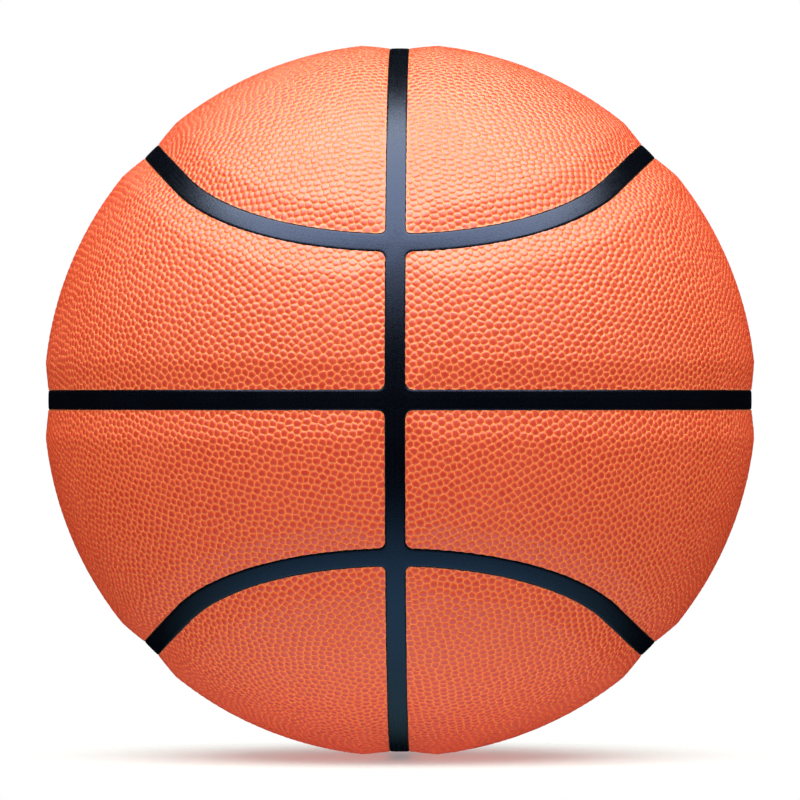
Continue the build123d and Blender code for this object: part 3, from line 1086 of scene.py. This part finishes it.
class Tree:
    """Adds nodes to a node tree, sets their values and links them."""

    def __init__(self, tree):
        self.tree = tree

    def feed(self, node, values):
        """Sets a node's inputs by name or number: a socket is linked, and anything else is a value."""
        for key, value in values.items():
            if isinstance(value, bpy.types.NodeSocket):
                self.tree.links.new(value, node.inputs[key])
            else:
                node.inputs[key].default_value = value

    def add(self, kind, values=None, **settings):
        """New node with its settings and its inputs."""
        node = self.tree.nodes.new(kind)
        for key, value in settings.items():
            setattr(node, key, value)
        self.feed(node, values or {})
        return node

    def maths(self, operation, a, b):
        """Result of a sum on two values."""
        return self.add("ShaderNodeMath", {0: a, 1: b}, operation=operation).outputs[0]

    def ramp(self, value, low, high, to_low=0.0, to_high=1.0):
        """Value carried smoothly from one range to another and held at its ends."""
        inputs = {0: value, 1: low, 2: high, 3: to_low, 4: to_high}
        return self.add("ShaderNodeMapRange", inputs, interpolation_type="SMOOTHSTEP").outputs[0]

    def mix(self, part, a, b):
        """Mix of two colours."""
        return self.add("ShaderNodeMix", {0: part, 6: a, 7: b}, data_type="RGBA").outputs[2]

    def attribute(self, name):
        """Named value of the mesh."""
        return self.add("ShaderNodeAttribute", attribute_name=name).outputs["Fac"]

    def spot(self):
        """Place on the piece."""
        return self.add("ShaderNodeTexCoord").outputs["Object"]

    def noise(self, spot, scale, detail, roughness):
        """Cloudy value."""
        inputs = {"Vector": spot, "Scale": scale, "Detail": detail, "Roughness": roughness}
        return self.add("ShaderNodeTexNoise", inputs).outputs["Fac"]

    def vector(self, operation, a, b=(0.0, 0.0, 0.0)):
        """Node for a sum on two vectors."""
        return self.add("ShaderNodeVectorMath", {0: a, 1: b}, operation=operation)

    def bump(self, height, strength, distance):
        """Normal of a surface raised by a height, which is a share of a distance in metres."""
        inputs = {"Height": height, "Strength": strength, "Distance": distance}
        return self.add("ShaderNodeBump", inputs).outputs[0]


def rgba(value):
    """Colour setting with an alpha of one."""
    return (*value, 1.0)


def shaded(value, part):
    """Darker copy of a colour setting."""
    return rgba([part * channel for channel in value])


def new_material(name):
    """Empty material with a Principled shader, its tree helper and the shader."""
    material = bpy.data.materials.new(name)
    material.use_nodes = True
    material.node_tree.nodes.clear()
    tree = Tree(material.node_tree)
    shader = tree.add("ShaderNodeBsdfPrincipled")
    tree.add("ShaderNodeOutputMaterial", {"Surface": shader.outputs[0]})
    return material, tree, shader


def grain_group():
    """Node group for a worn skin: fine grain as a height, and soft blotches as a mask."""
    name = "Skin grain"
    fine_detail, blotch_detail, detail_share = 3.0, 4.0, 0.6
    blotch_range = (0.3, 0.7)
    if name in bpy.data.node_groups:
        return bpy.data.node_groups[name]
    group = bpy.data.node_groups.new(name, "ShaderNodeTree")
    face = group.interface
    for label in ("Grain scale", "Blotch scale"):
        face.new_socket(label, in_out="INPUT", socket_type="NodeSocketFloat")
    for label in ("Height", "Blotches"):
        face.new_socket(label, in_out="OUTPUT", socket_type="NodeSocketFloat")
    tree = Tree(group)
    inputs = tree.add("NodeGroupInput")
    spot = tree.spot()
    fine = tree.noise(spot, inputs.outputs["Grain scale"], fine_detail, detail_share)
    blotch = tree.noise(spot, inputs.outputs["Blotch scale"], blotch_detail, detail_share)
    tree.add("NodeGroupOutput", {"Height": fine, "Blotches": tree.ramp(blotch, *blotch_range)})
    return group


def grain(tree, grain_scale, blotch_scale):
    """The skin grain group placed in a material: its height and its blotches."""
    node = tree.add("ShaderNodeGroup", node_tree=grain_group())
    tree.feed(node, {"Grain scale": grain_scale, "Blotch scale": blotch_scale})
    return node.outputs["Height"], node.outputs["Blotches"]


def leather_material(finish):
    """Pebbled composite leather: red tops, orange sides, yellow creases whose brightness is partly the
    leather's own tone and partly a painted highlight of the lit lines round each pebble, a pale cut edge and
    a fine grain.

    The stone value of the mesh is nought in a crease and one on a top. It leads the colour from the crease
    over the side to the top, and the roughness from matt to satin. Blotches make the tops paler and duller.
    """
    tint_share, worn_share = 0.75, 0.22
    side_from, top_from, cut_width = 0.42, 0.76, 0.04
    crease_rough, top_rough = 0.68, 0.37
    rough_range, blotch_rough = (0.2, 0.9), (-0.03, 0.05)
    grain_scale, blotch_scale = 3200.0, 38.0
    grain_strength, grain_depth = 0.35, 0.00006
    material, tree, shader = new_material("pebbled_leather")
    stone = tree.attribute("pebble")
    height, blotches = grain(tree, grain_scale, blotch_scale)
    top, blush = rgba(finish.leather_top), rgba(finish.leather_blush)
    tops = tree.mix(tree.maths("MULTIPLY", tree.attribute("tint"), tint_share), top, blush)
    worn = tree.mix(tree.maths("MULTIPLY", blotches, worn_share), tops, blush)
    crease, flank = rgba(finish.leather_crease_and_highlight), rgba(finish.leather_flank)
    # Bright crease colour fading into the flank: partly the leather's own tone, partly a painted highlight of
    # the lit lines round each pebble
    side = tree.mix(tree.ramp(stone, 0.0, side_from), crease, flank)
    skin = tree.mix(tree.ramp(stone, top_from, 1.0), side, worn)
    cut = tree.ramp(tree.attribute("edge"), 0.0, cut_width, 1.0, 0.0)
    rough = tree.ramp(stone, *rough_range, crease_rough, top_rough)
    tree.feed(shader, {
        "Base Color": tree.mix(cut, skin, rgba(finish.leather_cut)),
        "Roughness": tree.maths("ADD", rough, tree.ramp(blotches, 0.0, 1.0, *blotch_rough)),
        "Normal": tree.bump(height, grain_strength, grain_depth),
        "Specular IOR Level": 1.0,
        "IOR": 1.6,
    })
    return material


def rubber_material(name, plain, finish, roughness):
    """Moulded black rubber: satin, with a fine grain and rubbed, dusty blotches.

    On a piece with the edge value, the blotches are drawn out into streaks that run along the piece.
    """
    streak_scale, edge_shift = 14.0, 9.0
    noise_scale, noise_detail, detail_share = 1.6, 2.0, 0.5
    streak_range, grain_range = (0.35, 0.7), (0.35, 0.65)
    worn_share = 0.6
    blotch_rough, grain_rough = 0.04, 0.07
    grain_scale, blotch_scale = 2600.0, 30.0
    grain_strength, grain_depth = 0.8, 0.00007
    material, tree, shader = new_material(name)
    height, blotches = grain(tree, grain_scale, blotch_scale)
    drift = tree.vector("MULTIPLY", tree.spot(), (streak_scale,) * 3).outputs[0]
    edge = tree.maths("MULTIPLY", tree.attribute("edge"), edge_shift)
    shift = tree.add("ShaderNodeCombineXYZ", {0: edge}).outputs[0]
    place = tree.vector("ADD", drift, shift).outputs[0]
    streaks = tree.ramp(tree.noise(place, noise_scale, noise_detail, detail_share), *streak_range)
    blotches = tree.maths("MULTIPLY", tree.maths("ADD", blotches, streaks), 0.5)
    rough = tree.ramp(blotches, 0.0, 1.0, roughness - blotch_rough, roughness + blotch_rough)
    worn = tree.maths("MULTIPLY", blotches, worn_share)
    tree.feed(shader, {
        "Base Color": tree.mix(worn, rgba(plain), rgba(finish.rubber_worn)),
        "Roughness": tree.maths("ADD", rough, tree.ramp(height, *grain_range, -grain_rough, grain_rough)),
        "Normal": tree.bump(height, grain_strength, grain_depth),
        "Specular IOR Level": 0.8,
        "Specular Tint": rgba(finish.rubber_gloss),
    })
    return material


def foam_material(finish):
    """Backing foam: small open cells."""
    cell_scale, cell_range, shade = 1400.0, (0.2, 0.7), 0.6
    cell_strength, cell_depth = 0.6, 0.0002
    material, tree, shader = new_material("backing_foam")
    cells = tree.add("ShaderNodeTexVoronoi", {"Vector": tree.spot(), "Scale": cell_scale}).outputs["Distance"]
    dark = tree.ramp(cells, *cell_range)
    tree.feed(shader, {
        "Base Color": tree.mix(dark, rgba(finish.foam), shaded(finish.foam, shade)),
        "Normal": tree.bump(cells, cell_strength, cell_depth),
        "Roughness": 0.9,
    })
    return material


def thread_material(finish):
    """Wound thread: fine crossing lines in latex, with painted shade in the low grooves between them."""
    turns = ((0.4, 0.9, 0.2), (1.3, 0.1, 0.8), (0.2, 0.5, 1.9))
    line_scale, waver, shade = 260.0, 0.6, 0.45
    line_strength, line_depth = 0.7, 0.0003
    material, tree, shader = new_material("wound_thread")
    spot = tree.spot()
    lines = []
    for turn in turns:
        place = tree.add("ShaderNodeMapping", {"Vector": spot, "Rotation": turn}).outputs[0]
        wave = tree.add("ShaderNodeTexWave", {"Vector": place, "Scale": line_scale, "Distortion": waver})
        lines.append(wave.outputs["Fac"])
    height = tree.maths("MAXIMUM", tree.maths("MAXIMUM", lines[0], lines[1]), lines[2])
    # The darker copy of the thread colour fills the low grooves between the lines: painted shade
    tree.feed(shader, {
        "Base Color": tree.mix(height, shaded(finish.thread, shade), rgba(finish.thread)),
        "Normal": tree.bump(height, line_strength, line_depth),
        "Roughness": 0.7,
    })
    return material


# Studio


def make_floor(studio, ball):
    """Pale disc under the ball that keeps the ball's shadow and is clear further out and from below.

    It isn't mirrored by the ball and throws no shadow, so that the low cards reach the ball through it.
    """
    turn, edges = ring_turns(FLOOR_COUNT)
    rim = np.stack([np.cos(turn), np.sin(turn), 0 * turn], 1) * studio.floor_radius
    points = np.concatenate([rim, [[0, 0, 0]]]) + np.array([0, 0, -ball - FLOOR_GAP])
    faces = np.column_stack([edges, np.full(FLOOR_COUNT, FLOOR_COUNT)])
    floor = put_mesh("floor", points, faces)
    material, tree, shader = new_material("pale_floor")
    tree.feed(shader, {"Base Color": rgba(studio.floor_colour), "Roughness": 0.9})
    spread = tree.vector("MULTIPLY", tree.spot(), (1, 1, 0)).outputs[0]
    far = tree.vector("LENGTH", spread).outputs["Value"]
    under = tree.add("ShaderNodeNewGeometry").outputs["Backfacing"]
    clearness = tree.ramp(far, 0.0, studio.shadow_reach, studio.floor_clear, 1.0)
    part = tree.maths("MAXIMUM", clearness, under)
    clear = tree.add("ShaderNodeBsdfTransparent")
    mixed = tree.add("ShaderNodeMixShader", {0: part, 1: shader.outputs[0], 2: clear.outputs[0]})
    tree.add("ShaderNodeOutputMaterial", {"Surface": mixed.outputs[0]}).is_active_output = True
    floor.data.materials.append(material)
    floor.visible_glossy = False
    floor.visible_shadow = False


def make_world(studio):
    """White backdrop for the camera, and a weak even sky for the light on the ball.

    What the ball mirrors is white straight behind it, bluish from below and dark elsewhere.
    """
    world = bpy.data.worlds.new("studio")
    bpy.context.scene.world = world
    world.use_nodes = True
    world.cycles.sampling_method = "NONE"
    world.node_tree.nodes.clear()
    tree = Tree(world.node_tree)
    path = tree.add("ShaderNodeLightPath")
    way = tree.add("ShaderNodeSeparateXYZ", {0: tree.add("ShaderNodeTexCoord").outputs["Generated"]})
    behind = tree.ramp(way.outputs["Y"], *WHITE_BEHIND)
    ahead = tree.ramp(way.outputs["Y"], *LIGHT_AHEAD)
    below = tree.maths("MULTIPLY", ahead, tree.ramp(way.outputs["Z"], *LIGHT_BELOW))
    mirror = tree.maths("MAXIMUM", path.outputs["Is Glossy Ray"], path.outputs["Is Transmission Ray"])
    seen = tree.maths("MAXIMUM", path.outputs["Is Camera Ray"], tree.maths("MULTIPLY", mirror, behind))
    soft = tree.add("ShaderNodeBackground", {"Color": WHITE, "Strength": studio.sky})
    dark = tree.add("ShaderNodeBackground", {"Color": BLUISH, "Strength": below})
    white = tree.add("ShaderNodeBackground", {"Color": WHITE, "Strength": 1.0})
    dim = tree.add("ShaderNodeMixShader", {0: mirror, 1: soft.outputs[0], 2: dark.outputs[0]})
    mixed = tree.add("ShaderNodeMixShader", {0: seen, 1: dim.outputs[0], 2: white.outputs[0]})
    tree.add("ShaderNodeOutputWorld", {"Surface": mixed.outputs[0]})


def area_light(name, place, width, depth, tint, power, gloss=True):
    """Rectangular soft light aimed at the ball's centre, with or without a reflection of its own."""
    data = bpy.data.lights.new(name, "AREA")
    data.shape = "RECTANGLE"
    data.size = width
    data.size_y = depth
    data.color = tint
    data.energy = power
    light = bpy.data.objects.new(name, data)
    light.visible_glossy = gloss
    data.cycles.use_multiple_importance_sampling = gloss
    light.location = place
    light.rotation_euler = (-Vector(place)).to_track_quat("-Z", "Y").to_euler()
    bpy.context.scene.collection.objects.link(light)


def make_lights(studio):
    """Softbox overhead, weaker panels in front and behind, and a ring of low cards, stronger in front."""
    key = studio.key_colour
    area_light("softbox", *SOFTBOX, key, studio.key_power)
    area_light("front_panel", *FRONT_PANEL, key, studio.front_power)
    area_light("rear_panel", *REAR_PANEL, key, studio.rear_power, False)
    for number in range(studio.fill_count):
        turn = 2 * math.pi * number / studio.fill_count
        ahead = math.cos(turn)
        place = (FILL_RING_RADIUS * math.sin(turn), -FILL_RING_RADIUS * ahead, FILL_RING_HEIGHT)
        power = studio.fill_power * (1 + studio.fill_lead * ahead)
        area_light("fill_card_%d" % number, place, *FILL_CARD, studio.fill_colour, power, False)


def make_camera(studio):
    """Camera level with the ball's centre, turned a little to the right."""
    data = bpy.data.cameras.new("camera")
    data.sensor_width = SENSOR_WIDTH
    data.lens = studio.lens
    data.clip_end = CAMERA_REACH
    camera = bpy.data.objects.new("camera", data)
    back = Vector((math.sin(studio.turn), -math.cos(studio.turn), 0.0))
    camera.location = back * studio.distance
    camera.rotation_euler = (-back).to_track_quat("-Z", "Y").to_euler()
    bpy.context.scene.collection.objects.link(camera)
    bpy.context.scene.camera = camera


# Operators


class BALL_OT_panels(bpy.types.Operator):
    """Builds the eight pebbled leather panels"""

    bl_idname = "ball.panels"
    bl_label = "Pebbled panels"

    def execute(self, context):
        scene = context.scene
        seams = Seams(scene.ball_shape)
        leather = leather_material(scene.ball_finish)
        for number, (name, cap, sides) in enumerate(PANELS):
            rng = np.random.default_rng(scene.pebble_shape.seed + number)
            piece = pebbled_panel(seams, scene.pebble_shape, name, cap, sides, rng)
            dress(piece, leather, "ball", "cover_leather", "cover_" + name)
        return {"FINISHED"}


class BALL_OT_ribs(bpy.types.Operator):
    """Builds the rubber carcass with the ribs in the channels"""

    bl_idname = "ball.ribs"
    bl_label = "Rubber ribs"

    def execute(self, context):
        finish = context.scene.ball_finish
        rubber = rubber_material("rib_rubber", finish.rubber, finish, RIB_ROUGHNESS)
        dress(rib_carcass(Seams(context.scene.ball_shape)), rubber, "ball", "channel_rubber", "carcass")
        return {"FINISHED"}


class BALL_OT_valve(bpy.types.Operator):
    """Builds the valve's boot and core"""

    bl_idname = "ball.valve"
    bl_label = "Valve"

    def execute(self, context):
        shape = context.scene.ball_shape
        finish = context.scene.ball_finish
        seams = Seams(shape)
        rubber = rubber_material("valve_rubber", finish.valve, finish, VALVE_ROUGHNESS)
        core = turned("valve_core_plug", core_profile(shape, seams.valve_top), seams.valve, False)
        dress(core, rubber, "valve_core", "valve_rubber", "valve_core")
        profile = boot_profile(shape, seams.inside, seams.valve_top)
        boot = turned("valve_boot_neck", profile, seams.valve, True)
        dress(boot, rubber, "ball", "valve_rubber", "valve_boot")
        return {"FINISHED"}


class BALL_OT_layers(bpy.types.Operator):
    """Finishes the foam pads, the thread winding and the bladder"""

    bl_idname = "ball.layers"
    bl_label = "Inner layers"

    def execute(self, context):
        finish = context.scene.ball_finish
        butyl = rubber_material("butyl_bladder", finish.bladder, finish, BLADDER_ROUGHNESS)
        chosen = {"foam": foam_material(finish), "thread": thread_material(finish), "bladder": butyl}
        for name, node in frame["nodes"].items():
            kind = name.split("_")[0]
            if kind in chosen:
                node.data.materials.clear()
                node.data.materials.append(chosen[kind])
        return {"FINISHED"}


class BALL_OT_studio(bpy.types.Operator):
    """Sets the pale floor, the white backdrop, the soft light and the camera"""

    bl_idname = "ball.studio"
    bl_label = "Studio"

    def execute(self, context):
        scene = context.scene
        scene.view_settings.view_transform = "Standard"
        make_floor(scene.studio_setup, Seams(scene.ball_shape).ball)
        make_world(scene.studio_setup)
        make_lights(scene.studio_setup)
        make_camera(scene.studio_setup)
        return {"FINISHED"}


class BALL_PT_builder(bpy.types.Panel):
    """Lists the steps and settings of the ball"""

    bl_idname = "BALL_PT_builder"
    bl_label = "Basketball"
    bl_space_type = "VIEW_3D"
    bl_region_type = "UI"
    bl_category = "Ball"

    def draw(self, context):
        layout = self.layout
        for operator in STEPS:
            layout.operator(operator.bl_idname)
        for key in SETTINGS:
            group = getattr(context.scene, key)
            box = layout.box()
            for name in group.bl_rna.properties.keys():
                if name not in ("rna_type", "name"):
                    box.prop(group, name)


STEPS = (BALL_OT_panels, BALL_OT_ribs, BALL_OT_valve, BALL_OT_layers, BALL_OT_studio)
SETTINGS = {
    "ball_shape": BallShape,
    "pebble_shape": PebbleShape,
    "ball_finish": BallFinish,
    "studio_setup": StudioSetup,
}


def register():
    """Registers the settings, the operators and the panel."""
    for key, group in SETTINGS.items():
        bpy.utils.register_class(group)
        setattr(bpy.types.Scene, key, PointerProperty(type=group))
    for operator in STEPS:
        bpy.utils.register_class(operator)
    bpy.utils.register_class(BALL_PT_builder)


def unregister():
    """Removes the panel, the operators and the settings."""
    bpy.utils.unregister_class(BALL_PT_builder)
    for operator in reversed(STEPS):
        bpy.utils.unregister_class(operator)
    for key, group in reversed(SETTINGS.items()):
        delattr(bpy.types.Scene, key)
        bpy.utils.unregister_class(group)


def main():
    """Builds the whole scene."""
    register()
    bpy.ops.ball.panels()
    bpy.ops.ball.ribs()
    bpy.ops.ball.valve()
    bpy.ops.ball.layers()
    bpy.ops.ball.studio()


if __name__ == "__main__":
    main()
